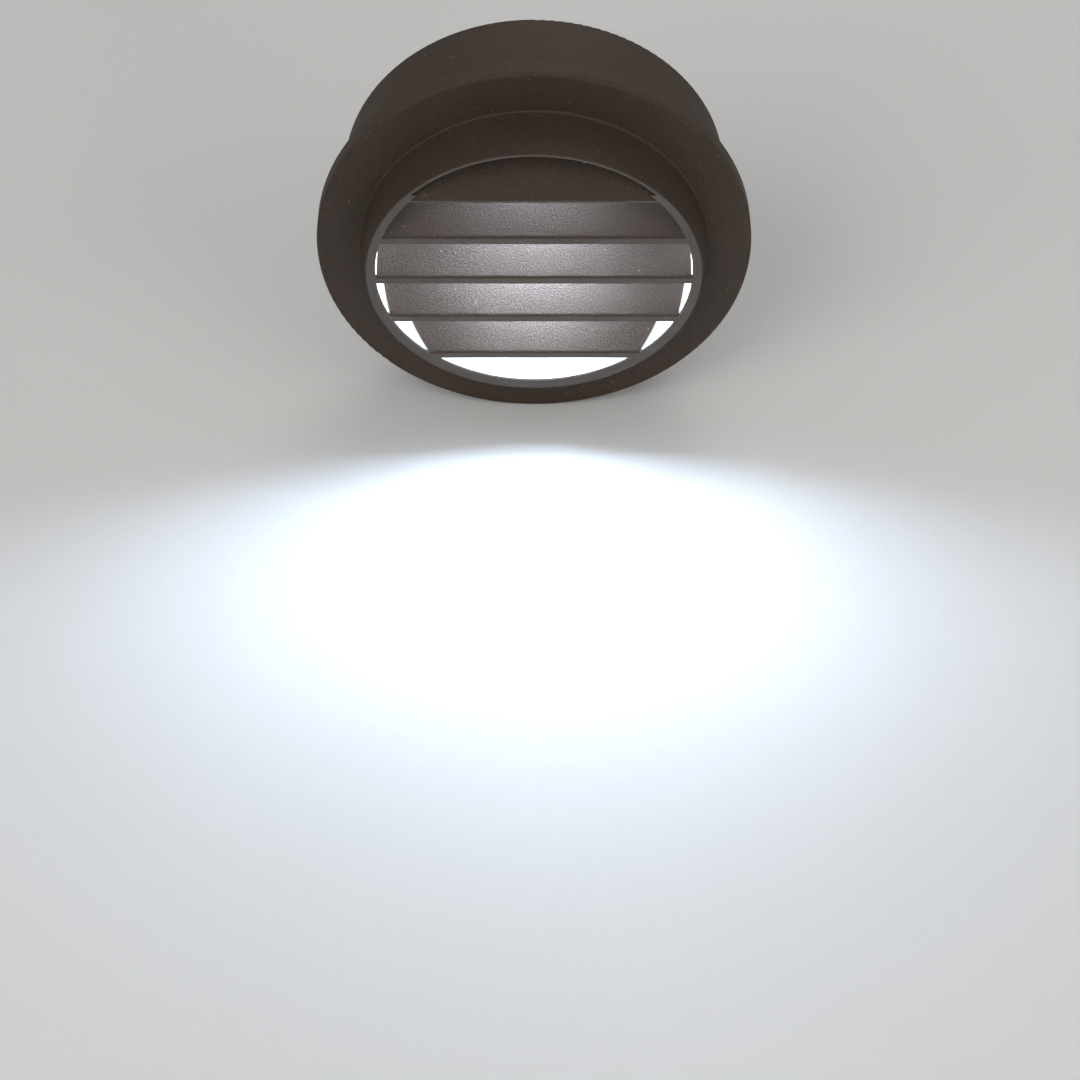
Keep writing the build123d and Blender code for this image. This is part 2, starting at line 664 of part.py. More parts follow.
def earth_lug():
    """Ring terminal on the earth boss, with the crimped barrel that takes the earth lead."""
    x, z = EARTH_PLACE
    floor = -BACK_WALL - EARTH_BOSS_HIGH
    tongue_size = (LUG_BARREL_LENGTH, LUG_THICK, LUG_R)
    tongue = block(x + LUG_BARREL_X / 2, floor - LUG_THICK / 2, z, tongue_size)
    plate = rod(x, z, LUG_R, floor - LUG_THICK, floor) + tongue
    along_x = Pos(x + LUG_BARREL_X, LUG_BARREL_Y, z) * Rot(0, 90, 0)
    barrel = along_x * Cylinder(LUG_BARREL_R, LUG_BARREL_LENGTH)
    bore_middle = (LUG_BORE_DEPTH - LUG_BARREL_LENGTH) / 2
    barrel -= along_x * Pos(0, 0, bore_middle) * Cylinder(WIRE_R + THREAD_GAP, LUG_BORE_DEPTH)
    return plate + barrel - rod(x, z, CLEAR_HOLE_R, floor - LUG_THICK, floor)


# Leads inside the drum

LEAD_START_Z = BLOCK_PLACE[1] + BLOCK_SIZE[2] / 2 - WIRE_GRIP
SUPPLY_END_X = DRIVER_PLACE[0] - DRIVER_SIZE[0] / 2 + DRIVER_GRIP


def line_lead():
    """Line lead from the block to the driver."""
    x = pole_x(0)
    z = DRIVER_PLACE[1]
    return tube_along([(x, WIRE_Y, LEAD_START_Z), (x, WIRE_Y, z), (SUPPLY_END_X, WIRE_Y, z)], WIRE_R, [5.0])


def neutral_lead():
    """Neutral lead from the block to the driver."""
    x = pole_x(1)
    z = DRIVER_PLACE[1] - SUPPLY_LEAD_DROP
    return tube_along([(x, WIRE_Y, LEAD_START_Z), (x, WIRE_Y, z), (SUPPLY_END_X, WIRE_Y, z)], WIRE_R, [3.5])


def earth_lead():
    """Earth lead from the block, under the driver, into the lug's barrel."""
    x = pole_x(POLE_COUNT - 1)
    barrel_end = EARTH_PLACE[0] + LUG_BARREL_X - LUG_BARREL_LENGTH / 2
    under_driver_z = DRIVER_PLACE[1] - DRIVER_SIZE[2] / 2 - EARTH_LEAD_DROP
    points = [
        (x, WIRE_Y, LEAD_START_Z),
        (x, WIRE_Y, under_driver_z),
        (-3.0, WIRE_Y, under_driver_z),
        (6.0, LUG_BARREL_Y, -2.0),
        (8.5, LUG_BARREL_Y, EARTH_PLACE[1]),
        (barrel_end + LUG_GRIP, LUG_BARREL_Y, EARTH_PLACE[1]),
    ]
    return tube_along(points, WIRE_R, [2.6, 4.5, 2.6, 2.6])


def board_lead(side):
    """One lead from the driver through the tray to the light board."""
    x, middle = LEAD_HOLE_PLACE
    z = middle + side * BOARD_LEAD_SIDE
    start = DRIVER_PLACE[0] + DRIVER_SIZE[0] / 2 - DRIVER_GRIP
    board_y = BOARD_FRONT_Y - WIRE_R
    points = [(start, WIRE_Y, z), (x, WIRE_Y, z), (x, board_y, z), (BOARD_LEAD_END_X, board_y, z)]
    return tube_along(points, WIRE_R, [5.0, 3.3])


# Gear tray and light source

def gear_tray():
    """Aluminium plate on the drum's posts; it carries the light board and spreads its heat."""
    front = TRAY_Y - TRAY_THICK
    tray = rod(0, 0, TRAY_R, front, TRAY_Y)
    tray -= holes(CLEAR_HOLE_R, POST_PLACE_R, POST_ANGLES, front, TRAY_Y)
    tray -= holes(PILOT_R, BOARD_SCREW_PLACE_R, BOARD_SCREW_ANGLES, front, TRAY_Y)
    return tray - rod(*LEAD_HOLE_PLACE, LEAD_HOLE_R, front, TRAY_Y)


def tray_screws():
    """Three screws that hold the gear tray to the posts."""
    seat = TRAY_Y - TRAY_THICK
    return Compound(children=[pan_screw(x, z, TRAY_SCREW, seat) for x, z in post_places()])


def board_disc(radius, y_front, y_back):
    """A disc with the board screws' holes."""
    disc = rod(0, 0, radius, y_front, y_back)
    return disc - holes(CLEAR_HOLE_R, BOARD_SCREW_PLACE_R, BOARD_SCREW_ANGLES, y_front, y_back)


def thermal_pad():
    """Soft pad between the light board and the tray."""
    return board_disc(PAD_R, BOARD_BACK_Y, TRAY_Y - TRAY_THICK)


def light_board():
    """Round aluminium-core board."""
    return board_disc(BOARD_R, BOARD_FRONT_Y, BOARD_BACK_Y)


def light_chips():
    """Rings of chips on the board, all one kind."""
    chips = []
    for radius, count in CHIP_RINGS:
        for index in range(count):
            turn = Rot(0, -360 / count * index, 0)
            chips.append(turn * block(radius, BOARD_FRONT_Y - CHIP_SIZE[1] / 2, 0, CHIP_SIZE))
    return Compound(children=chips)


def board_screws():
    """Three screws that hold the board and its pad to the tray."""
    places = [around(BOARD_SCREW_PLACE_R, angle) for angle in BOARD_SCREW_ANGLES]
    return Compound(children=[pan_screw(x, z, BOARD_SCREW, BOARD_FRONT_Y) for x, z in places])


def reflector():
    """White cone that throws stray light from the board into the diffuser."""
    back = TRAY_Y - TRAY_THICK
    wall = REFLECTOR_WALL
    return turned(
        (REFLECTOR_FOOT_R, back),
        (REFLECTOR_FOOT_R, back - wall),
        (REFLECTOR_FOOT_R + REFLECTOR_LEDGE, back - wall),
        (REFLECTOR_MOUTH_R - wall, REFLECTOR_FRONT_Y),
        (REFLECTOR_MOUTH_R, REFLECTOR_FRONT_Y),
        (REFLECTOR_FOOT_R + REFLECTOR_FOOT_WIDTH, back),
    )


def main():
    os.makedirs("parts", exist_ok=True)
    save(cover_hood(), "cover_hood")
    save(cover_flange(), "cover_flange")
    save(cover_spigot(), "cover_spigot")
    save(roof_blade(), "louvre_blade_1")
    for index in range(1, BLADE_COUNT):
        save(louvre_blade(index), f"louvre_blade_{index + 1}")
    save(diffuser(), "diffuser")
    save(diffuser_gasket(), "diffuser_gasket")
    save(retaining_ring(), "retaining_ring")
    save(ring_screws(), "ring_screws")
    save(drum_wall(), "drum_wall")
    save(drum_back(), "drum_back")
    save(drum_bosses(), "drum_bosses")
    save(wall_gasket(), "wall_gasket")
    save(cover_gasket(), "cover_gasket")
    for number, angle in enumerate(LOCK_ANGLES, start=1):
        save(lock_screw(angle), f"lock_screw_{number}")
    save(cable_grommet(), "cable_grommet")
    save(cable_clamp(), "cable_clamp")
    save(clamp_screws(), "clamp_screws")
    save(led_driver(), "led_driver")
    save(driver_screws(), "driver_screws")
    save(terminal_block(), "terminal_block")
    for index, pole in enumerate(("line", "neutral", "earth")):
        save(terminal_lever(index), f"{pole}_lever")
        print("  hinge", [round(value, 3) for value in lever_hinge(index)])
    save(earth_screw(), "earth_screw")
    save(earth_lug(), "earth_lug")
    save(line_lead(), "line_lead")
    save(neutral_lead(), "neutral_lead")
    save(earth_lead(), "earth_lead")
    save(board_lead(1), "board_lead_plus")
    save(board_lead(-1), "board_lead_minus")
    save(gear_tray(), "gear_tray")
    save(tray_screws(), "tray_screws")
    save(thermal_pad(), "thermal_pad")
    save(light_board(), "light_board")
    save(light_chips(), "light_chips")
    save(board_screws(), "board_screws")
    save(reflector(), "reflector")


main()
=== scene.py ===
# %% [markdown]
# A round louvred deck light, seen from in front and above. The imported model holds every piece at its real
# size and is loaded as a fixed frame. This lesson gives each piece its finish, adds the small pieces that
# only matter to the eye, and sets up a plain studio. Nothing that the frame holds is moved or resized.

# %% Load the frame
import math

import bmesh
import bpy
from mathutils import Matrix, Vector


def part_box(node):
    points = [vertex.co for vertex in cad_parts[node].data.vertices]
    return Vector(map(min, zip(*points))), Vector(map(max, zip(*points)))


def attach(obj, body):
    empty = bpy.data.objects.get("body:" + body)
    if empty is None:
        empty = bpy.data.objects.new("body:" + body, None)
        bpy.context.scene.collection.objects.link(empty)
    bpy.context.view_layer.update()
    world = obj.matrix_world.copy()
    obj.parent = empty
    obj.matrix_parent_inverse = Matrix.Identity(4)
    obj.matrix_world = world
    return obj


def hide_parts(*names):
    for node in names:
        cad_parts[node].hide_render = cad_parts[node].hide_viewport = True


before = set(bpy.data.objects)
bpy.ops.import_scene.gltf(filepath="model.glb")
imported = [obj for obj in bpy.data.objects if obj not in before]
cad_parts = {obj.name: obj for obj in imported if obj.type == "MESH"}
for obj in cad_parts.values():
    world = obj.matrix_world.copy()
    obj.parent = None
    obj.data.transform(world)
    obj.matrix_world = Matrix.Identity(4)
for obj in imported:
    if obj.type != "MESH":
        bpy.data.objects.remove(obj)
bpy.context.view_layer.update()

# %% [markdown]
# The wall is the plane Y = 0, the light looks along -Y and Z is up. Sizes are metres, so one millimetre is
# given a name. The sizes that later cells need are read from the frame's own boxes, so that everything
# stays in its place if the frame changes.

# %% Sizes from the frame
MM = 0.001
flange_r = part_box("cover_flange")[1].x
board_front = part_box("light_board")[0].y
print("flange radius", round(flange_r / MM, 1), "mm; board front at", round(board_front / MM, 1), "mm")

# %% [markdown]
# The camera stands about 0.9 m away and looks down at the light by 48 degrees, with a long lens that keeps
# the round flange and the round mouth as calm ellipses. These four numbers were found by fitting a pinhole
# camera to the edges of the flange, the mouth and the five blades.

# %% Camera
CAMERA_PLACE = (2.2 * MM, -674.1 * MM, 548.4 * MM)
CAMERA_DOWN = 48.3
LENS = 75.0
SENSOR = 36.0

camera_data = bpy.data.cameras.new("camera")
camera_data.lens = LENS
camera_data.sensor_width = SENSOR
camera = bpy.data.objects.new("camera", camera_data)
camera.location = CAMERA_PLACE
camera.rotation_euler = (math.radians(90 - CAMERA_DOWN), 0, 0)
bpy.context.scene.collection.objects.link(camera)
bpy.context.scene.camera = camera
print("camera looks down by", CAMERA_DOWN, "degrees")

# %% [markdown]
# Colours are picked as hex values, as a painter picks them from a card. The renderer works in linear light,
# so one function turns them. A second function adds a node with its settings and links in one line, which
# keeps every material readable as a short list. A pattern's scale is the number of features in a metre, so
# it is worked out from the feature's size in millimetres. Noise seldom leaves the middle of its range, so one
# span of its values is stretched to the whole range wherever it is used.

# %% Helpers for materials
NOISE_SPAN = (0.3, 0.7)


def colour(code):
    """An sRGB hex colour as linear red, green, blue and alpha."""
    shares = [int(code[start:start + 2], 16) / 255 for start in (1, 3, 5)]
    linear = [share / 12.92 if share <= 0.04045 else ((share + 0.055) / 1.055) ** 2.4 for share in shares]
    return (*linear, 1.0)


def node(tree, kind, inputs=None, **settings):
    """Add a node, set its settings, and set or link its inputs."""
    made = tree.nodes.new(kind)
    for name, value in settings.items():
        setattr(made, name, value)
    for name, value in (inputs or {}).items():
        socket = made.inputs[name]
        if isinstance(value, bpy.types.NodeSocket):
            tree.links.new(value, socket)
        else:
            socket.default_value = value
    return made


def across(size_mm):
    """The pattern scale at which one feature is this many millimetres across."""
    return 1000.0 / size_mm


def new_material(name, **numbers):
    """A material with its shader's plain numbers set; gives the tree, the shader and the object place."""
    material = bpy.data.materials.new(name)
    material.use_nodes = True
    tree = material.node_tree
    shader = tree.nodes["Principled BSDF"]
    for socket, value in numbers.items():
        shader.inputs[socket.replace("_", " ")].default_value = value
    place = node(tree, "ShaderNodeTexCoord").outputs["Object"]
    return material, tree, shader, place


def blend_colours(tree, share, first, second):
    """A colour between two, by a share from a pattern."""
    mixed = node(tree, "ShaderNodeMix", data_type="RGBA")
    mixed.inputs["Factor"].default_value = 0.5
    tree.links.new(share, mixed.inputs["Factor"])
    for socket, value in ((mixed.inputs[6], first), (mixed.inputs[7], second)):
        if isinstance(value, bpy.types.NodeSocket):
            tree.links.new(value, socket)
        else:
            socket.default_value = colour(value)
    return mixed.outputs[2]


def spread(tree, value, low, high, to_low=0.0, to_high=1.0):
    """A pattern's value stretched from one span to another and held inside it."""
    return node(tree, "ShaderNodeMapRange", {
        "Value": value, "From Min": low, "From Max": high, "To Min": to_low, "To Max": to_high,
    }).outputs["Result"]


def dress(material, *names):
    """Give frame nodes this material."""
    for name in names:
        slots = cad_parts[name].data.materials
        slots.clear()
        slots.append(material)
    print(material.name, "on", ", ".join(names))


# %% [markdown]
# The castings are powder coated in dark bronze with a fine leather texture. Powder melts into low bumps about
# half a millimetre across with finer sand between them. The colour itself is deep and brown; what looks
# grey in strong light is the clear binder on the slopes of the bumps, so the bump does that work and not a
# grey paint. Along the mouth's rim and the blade noses the powder lies smoother, so the relief is lower
# there, and a band just behind the mouth plane is painted lighter: a painted highlight for the light that
# these edges catch. A wide, weak noise keeps large faces from
# looking printed.

# %% Bronze powder coat
COAT_BUMP_MM = 0.55
COAT_SAND_MM = 0.22
COAT_CLOUD_MM = 26.0
COAT_FLECK_MM = 0.6
# The fourth colour is a painted highlight for the rim of the mouth and the blade noses.
COAT_DARK, COAT_LIGHT, COAT_PAINTED_HIGHLIGHT, COAT_FLECK = "#20160c", "#3d2b19", "#48413a", "#5b5348"
MOUTH_Y = -57.0 * MM
MOUTH_TILT = math.radians(5.2)
# The painted highlight band is full up to the first depth behind the mouth plane and gone by the second.
HIGHLIGHT_NEAR, HIGHLIGHT_FAR = 0.12 * MM, 0.17 * MM
FLECK_CHANCE = (0.998, 0.9995)
SAND_SHARE = 0.3
COAT_HIGH = 0.3 * MM
COAT_RELIEF, BAND_RELIEF = 0.9, 0.3


# This band carries the painted highlight of the rim and noses, and their lower relief.
def highlight_and_smooth_band(tree, place):
    """1 on the mouth plane, where rim and noses end, and 0 a little behind it."""
    inward = (0.0, math.cos(MOUTH_TILT), math.sin(MOUTH_TILT))
    reach = node(tree, "ShaderNodeVectorMath", {0: place, 1: inward}, operation="DOT_PRODUCT")
    plane = MOUTH_Y * inward[1]
    return spread(tree, reach.outputs["Value"], plane + HIGHLIGHT_FAR, plane + HIGHLIGHT_NEAR)


def powder_coat():
    """Fine-texture polyester powder on cast aluminium: deep brown, with a soft shine on every bump."""
    material, tree, shader, place = new_material(
        "bronze_powder_coat", IOR=1.5, Specular_IOR_Level=0.45)
    bumps = node(tree, "ShaderNodeTexNoise", {
        "Vector": place, "Scale": across(COAT_BUMP_MM), "Detail": 3.0, "Roughness": 0.6}).outputs["Fac"]
    sand = node(tree, "ShaderNodeTexNoise", {
        "Vector": place, "Scale": across(COAT_SAND_MM), "Detail": 2.0, "Roughness": 0.6}).outputs["Fac"]
    cloud = node(tree, "ShaderNodeTexNoise", {
        "Vector": place, "Scale": across(COAT_CLOUD_MM), "Detail": 2.0}).outputs["Fac"]
    flecks = node(tree, "ShaderNodeTexVoronoi", {"Vector": place, "Scale": across(COAT_FLECK_MM)})
    chance = node(tree, "ShaderNodeSeparateColor", {"Color": flecks.outputs["Color"]}).outputs["Red"]
    tint = blend_colours(tree, spread(tree, bumps, 0.35, 0.65), COAT_DARK, COAT_LIGHT)
    shade = node(tree, "ShaderNodeHueSaturation", {
        "Color": tint, "Value": spread(tree, cloud, *NOISE_SPAN, 0.92, 1.08)}).outputs["Color"]
    shade = blend_colours(tree, spread(tree, chance, *FLECK_CHANCE), shade, COAT_FLECK)
    highlight_and_smooth = highlight_and_smooth_band(tree, place)
    # Painted highlight: the band on the mouth plane is blended towards a lighter colour.
    tree.links.new(blend_colours(tree, highlight_and_smooth, shade, COAT_PAINTED_HIGHLIGHT), shader.inputs["Base Color"])
    tree.links.new(spread(tree, sand, *NOISE_SPAN, 0.72, 0.56), shader.inputs["Roughness"])
    texture = node(tree, "ShaderNodeMath", {0: sand, 1: SAND_SHARE, 2: bumps}, operation="MULTIPLY_ADD")
    bump = node(tree, "ShaderNodeBump", {
        "Height": texture.outputs["Value"], "Distance": COAT_HIGH,
        "Strength": spread(tree, highlight_and_smooth, 0.0, 1.0, COAT_RELIEF, BAND_RELIEF)})
    tree.links.new(bump.outputs["Normal"], shader.inputs["Normal"])
    return material


BLADES = [f"louvre_blade_{number}" for number in range(1, 6)]
COVER = ["cover_hood", "cover_flange", "cover_spigot"]
DRUM = ["drum_wall", "drum_back", "drum_bosses"]
dress(powder_coat(), *COVER, *DRUM, *BLADES)

# %% [markdown]
# The diffuser is an opal polycarbonate cup. Its window glows because the chips shine into it from behind
# and the light scatters in the sheet. The skirt that lines the hood has no chips behind it: it only carries
# on a little of that light, so it looks white, but hardly lights the ends of the blades beside it. Emission
# on a satin plastic gives both, with a strength that falls off towards the rim. The bright part is taller
# than wide, which lights the top and bottom blades as well as the middle ones and leaves their ends dark.
# Only faces that look forwards glow at full strength, so that the open housing isn't flooded when the cover
# is off. A separate lamp behind the sheet would need far more samples for the same look.

# %% Opal diffuser
GLOW_CORE_R, GLOW_EDGE_R = 18.0 * MM, 46.0 * MM
GLOW_STRETCH = (1.3, 0.0, 0.75)
GLOW_RISE = 8.0 * MM
GLOW_STRENGTH = 130.0
GLOW_CORE, GLOW_EDGE = "#d0e5ff", "#0e0f10"


def opal_polycarbonate():
    """Opal polycarbonate: satin surface, lit from within."""
    material, tree, shader, place = new_material(
        "opal_polycarbonate", IOR=1.58, Roughness=0.35, Emission_Strength=GLOW_STRENGTH)
    shader.inputs["Base Color"].default_value = colour("#f4f3ee")
    flat = node(tree, "ShaderNodeVectorMath", {0: place, 1: GLOW_STRETCH}, operation="MULTIPLY")
    away = node(tree, "ShaderNodeVectorMath", {0: flat.outputs["Vector"], 1: (0.0, 0.0, GLOW_RISE)},
                operation="SUBTRACT")
    reach = node(tree, "ShaderNodeVectorMath", {0: away.outputs["Vector"]}, operation="LENGTH")
    edge = spread(tree, reach.outputs["Value"], GLOW_CORE_R, GLOW_EDGE_R)
    facing = node(tree, "ShaderNodeSeparateXYZ", {
        "Vector": node(tree, "ShaderNodeTexCoord").outputs["Normal"]}).outputs["Y"]
    dim = node(tree, "ShaderNodeMath", {0: edge, 1: spread(tree, facing, -0.3, 0.3)}, operation="MAXIMUM")
    glow = blend_colours(tree, dim.outputs["Value"], GLOW_CORE, GLOW_EDGE)
    tree.links.new(glow, shader.inputs["Emission Color"])
    return material


dress(opal_polycarbonate(), "diffuser")

# %% [markdown]
# Silicone seals and moulded rubber and plastic pieces have the skin of the mould they came from: spark
# eroded steel leaves a fine grain of a few tenths of a millimetre. One function makes them all from their
# colour, a second shade, a roughness and a grain size, because only these differ from piece to piece.

# %% Moulded plastics and rubbers
def moulded(name, main, second, roughness, grain_mm, depth=0.3, ior=1.5):
    """A moulded skin: eroded grain in the surface and a weak cloud in the colour."""
    material, tree, shader, place = new_material(name, IOR=ior)
    grain = node(tree, "ShaderNodeTexNoise", {
        "Vector": place, "Scale": across(grain_mm), "Detail": 2.0, "Roughness": 0.55})
    cloud = node(tree, "ShaderNodeTexNoise", {"Vector": place, "Scale": across(grain_mm * 22), "Detail": 3.0})
    tint = blend_colours(tree, spread(tree, cloud.outputs["Fac"], *NOISE_SPAN), main, second)
    tree.links.new(tint, shader.inputs["Base Color"])
    tree.links.new(spread(tree, grain.outputs["Fac"], *NOISE_SPAN, roughness + 0.06, roughness - 0.06),
                   shader.inputs["Roughness"])
    bump = node(tree, "ShaderNodeBump", {
        "Height": grain.outputs["Fac"], "Strength": depth, "Distance": 0.1 * MM})
    tree.links.new(bump.outputs["Normal"], shader.inputs["Normal"])
    return material


dress(moulded("grey_silicone", "#7d7d7a", "#898884", 0.55, 0.5, ior=1.41), "diffuser_gasket", "cover_gasket")
dress(moulded("black_rubber", "#1c1c1c", "#272625", 0.62, 0.6, ior=1.52), "cable_grommet")
dress(moulded("black_nylon", "#222221", "#2c2b2a", 0.5, 0.35, ior=1.53), "cable_clamp")
dress(moulded("white_driver_case", "#e4e3de", "#d9d8d2", 0.45, 0.4), "led_driver")
dress(moulded("grey_polyamide", "#9ea09f", "#a9abaa", 0.42, 0.3, ior=1.53), "terminal_block")
dress(moulded("orange_lever", "#d9661a", "#e27326", 0.3, 0.3, depth=0.12), "line_lever", "neutral_lever",
      "earth_lever")
dress(moulded("white_polycarbonate", "#f0efeb", "#e9e8e3", 0.38, 0.5, depth=0.1, ior=1.58), "reflector")
dress(moulded("blue_thermal_pad", "#6b93b5", "#7ba1bf", 0.6, 0.8), "thermal_pad")

# %% [markdown]
# The ring that keeps water out behind the drum is closed-cell foam. Cut foam shows its cells as round
# pits, so cell noise drives the bump, and the pits are painted darker as painted shade.

# %% Foam rubber
FOAM_CELL_MM = 0.7


def foam_rubber():
    """Closed-cell foam, cut to a ring: matt, full of small round pits."""
    material, tree, shader, place = new_material("black_foam_rubber", Roughness=0.85, IOR=1.45)
    cells = node(tree, "ShaderNodeTexVoronoi", {"Vector": place, "Scale": across(FOAM_CELL_MM)},
                 feature="SMOOTH_F1")
    pit = spread(tree, cells.outputs["Distance"], 0.1, 0.6)
    # Painted shade: the middles of the pits are darker.
    tree.links.new(blend_colours(tree, pit, "#141414", "#2f2f2e"), shader.inputs["Base Color"])
    bump = node(tree, "ShaderNodeBump", {"Height": pit, "Strength": 0.6, "Distance": 0.3 * MM})
    tree.links.new(bump.outputs["Normal"], shader.inputs["Normal"])
    return material


dress(foam_rubber(), "wall_gasket")

# %% [markdown]
# Bare metals keep the marks of how they were made: sheet from the rolling mill has long fine lines, a
# turned screw has rings, zinc plating has a soft cloudy bloom. The same noise stretched along the lines
# makes the first, and unstretched it makes the bloom.

# %% Bare metals
def bare_metal(name, main, second, roughness, stretch, line_mm, depth=0.15):
    """A metal whose marks are noise, stretched along one axis where it was rolled or drawn."""
    material, tree, shader, place = new_material(name, Metallic=1.0)
    stretched = node(tree, "ShaderNodeMapping", {"Vector": place, "Scale": stretch})
    marks = node(tree, "ShaderNodeTexNoise", {
        "Vector": stretched.outputs["Vector"], "Scale": across(line_mm), "Detail": 4.0, "Roughness": 0.6})
    bloom = node(tree, "ShaderNodeTexNoise", {"Vector": place, "Scale": across(9.0), "Detail": 3.0})
    tint = blend_colours(tree, spread(tree, bloom.outputs["Fac"], *NOISE_SPAN), main, second)
    tree.links.new(tint, shader.inputs["Base Color"])
    tree.links.new(spread(tree, marks.outputs["Fac"], *NOISE_SPAN, roughness - 0.07, roughness + 0.09),
                   shader.inputs["Roughness"])
    bump = node(tree, "ShaderNodeBump", {
        "Height": marks.outputs["Fac"], "Strength": depth, "Distance": 0.05 * MM})
    tree.links.new(bump.outputs["Normal"], shader.inputs["Normal"])
    return material


ALL_WAYS = (1.0, 1.0, 1.0)
ALONG_X = (0.04, 1.0, 1.0)
dress(bare_metal("zinc_plated_steel", "#c3c6c9", "#b4b8bd", 0.34, ALL_WAYS, 1.2), "retaining_ring")
stainless_steel = bare_metal("stainless_steel", "#b9b7b2", "#aaa8a3", 0.28, ALL_WAYS, 0.5)
dress(stainless_steel, "lock_screw_1", "lock_screw_2", "lock_screw_3")
brass = bare_metal("brass", "#c9a24c", "#b98f3d", 0.26, ALL_WAYS, 0.5)
tinned_copper = bare_metal("tinned_copper", "#bfbcb6", "#b0ada6", 0.36, ALL_WAYS, 0.7)
dress(tinned_copper, "earth_lug")
dress(bare_metal("bare_aluminium", "#c9cacb", "#bcbdbe", 0.38, ALONG_X, 0.5, depth=0.3), "gear_tray")

# %% [markdown]
# Wire insulation is extruded, so it is smooth, slightly waxy and almost without grain. The earth lead is
# green with a yellow band; the band sits on the side that faces forward, found from the surface's own
# direction, so it follows the wire round its bends.

# %% Wire insulation
def insulation(name, main, second, stripe=None):
    """Extruded PVC: satin, with an optional band along its front."""
    material, tree, shader, place = new_material(name, IOR=1.53, Roughness=0.4)
    cloud = node(tree, "ShaderNodeTexNoise", {"Vector": place, "Scale": across(3.0), "Detail": 2.0})
    tint = blend_colours(tree, spread(tree, cloud.outputs["Fac"], *NOISE_SPAN), main, second)
    if stripe:
        facing = node(tree, "ShaderNodeSeparateXYZ", {
            "Vector": node(tree, "ShaderNodeTexCoord").outputs["Normal"]}).outputs["Y"]
        tint = blend_colours(tree, spread(tree, facing, -0.55, -0.62), tint, stripe)
    tree.links.new(tint, shader.inputs["Base Color"])
    bump = node(tree, "ShaderNodeBump", {
        "Height": cloud.outputs["Fac"], "Strength": 0.1, "Distance": 0.1 * MM})
    tree.links.new(bump.outputs["Normal"], shader.inputs["Normal"])
    return material


dress(insulation("brown_insulation", "#4b2c1b", "#573420"), "line_lead")
dress(insulation("blue_insulation", "#1f4f9c", "#285aa8"), "neutral_lead")
dress(insulation("green_insulation", "#2f8a2c", "#379335", stripe="#e3d21c"), "earth_lead")
dress(insulation("red_insulation", "#a81a16", "#b5231d"), "board_lead_plus")
dress(insulation("black_insulation", "#1b1b1b", "#262525"), "board_lead_minus")

# %% [markdown]
# The light board is an aluminium-core board under white solder mask. The copper tracks lie under the mask
# and show only as faint raised rings where the chips sit.

# %% Light board
TRACK_RINGS = (10.0 * MM, 21.0 * MM, 32.0 * MM)
TRACK_HALF_WIDTH = 1.3 * MM
TRACK_EDGE = 1.15 * TRACK_HALF_WIDTH


def solder_mask():
    """White lacquer over copper tracks on an aluminium core."""
    material, tree, shader, place = new_material("white_solder_mask", IOR=1.5, Roughness=0.3)
    flat = node(tree, "ShaderNodeVectorMath", {0: place, 1: (1.0, 0.0, 1.0)}, operation="MULTIPLY")
    reach = node(tree, "ShaderNodeVectorMath", {0: flat.outputs["Vector"]}, operation="LENGTH")
    track = None
    for radius in TRACK_RINGS:
        off = node(tree, "ShaderNodeMath", {0: reach.outputs["Value"], 1: radius}, operation="SUBTRACT")
        away = node(tree, "ShaderNodeMath", {0: off.outputs["Value"]}, operation="ABSOLUTE")
        this = spread(tree, away.outputs["Value"], TRACK_EDGE, TRACK_HALF_WIDTH)
        if track is None:
            track = this
        else:
            track = node(tree, "ShaderNodeMath", {0: track, 1: this}, operation="MAXIMUM").outputs["Value"]
    tree.links.new(blend_colours(tree, track, "#e9e9e5", "#f3f2ec"), shader.inputs["Base Color"])
    bump = node(tree, "ShaderNodeBump", {"Height": track, "Strength": 0.6, "Distance": 0.1 * MM})
    tree.links.new(bump.outputs["Normal"], shader.inputs["Normal"])
    return material


dress(solder_mask(), "light_board")

# %% [markdown]
# Small pieces are modelled the way they would be by hand: a primitive of the right size, then edit mode. A
# few helpers keep that short. One adds a primitive with nothing else selected; two select the faces or edges
# that lie where a test says, because a script can't click on them; the last ones copy a finished master to
# its places and hand the result to its body. A face looks along an axis when its normal's share of that
# axis is above one value.

# %% Helpers for modelling
FACING = 0.99
SMOOTH_BELOW = math.radians(35)


def start_piece(add, name, **settings):
    """Add one primitive with nothing else selected, name it, and put its place in its mesh."""
    bpy.ops.object.select_all(action="DESELECT")
    add(**settings)
    piece = bpy.context.object
    piece.name = name
    bpy.ops.object.transform_apply(location=True, rotation=True, scale=True)
    return piece


def choose_faces(piece, wanted):
    """In edit mode, select only the faces whose middle and normal pass the test."""
    bpy.ops.mesh.select_mode(type="FACE")
    bpy.ops.mesh.select_all(action="DESELECT")
    shape = bmesh.from_edit_mesh(piece.data)
    for face in shape.faces:
        if wanted(face.calc_center_median(), face.normal):
            face.select_set(True)
    bmesh.update_edit_mesh(piece.data)


def choose_edges(piece, wanted):
    """In edit mode, select only the edges whose two ends pass the test."""
    bpy.ops.mesh.select_mode(type="EDGE")
    bpy.ops.mesh.select_all(action="DESELECT")
    shape = bmesh.from_edit_mesh(piece.data)
    for edge in shape.edges:
        first, second = (corner.co for corner in edge.verts)
        if wanted(first, second):
            edge.select_set(True)
    bmesh.update_edit_mesh(piece.data)


def paint_chosen(piece, material):
    """In edit mode, give the chosen faces a material of their own."""
    piece.data.materials.append(material)
    piece.active_material_index = len(piece.data.materials) - 1
    bpy.ops.object.material_slot_assign()


def join_pieces(name, pieces):
    """Join pieces into one."""
    bpy.ops.object.select_all(action="DESELECT")
    for piece in pieces:
        piece.select_set(True)
    bpy.context.view_layer.objects.active = pieces[0]
    if len(pieces) > 1:
        bpy.ops.object.join()
    pieces[0].name = name
    return pieces[0]


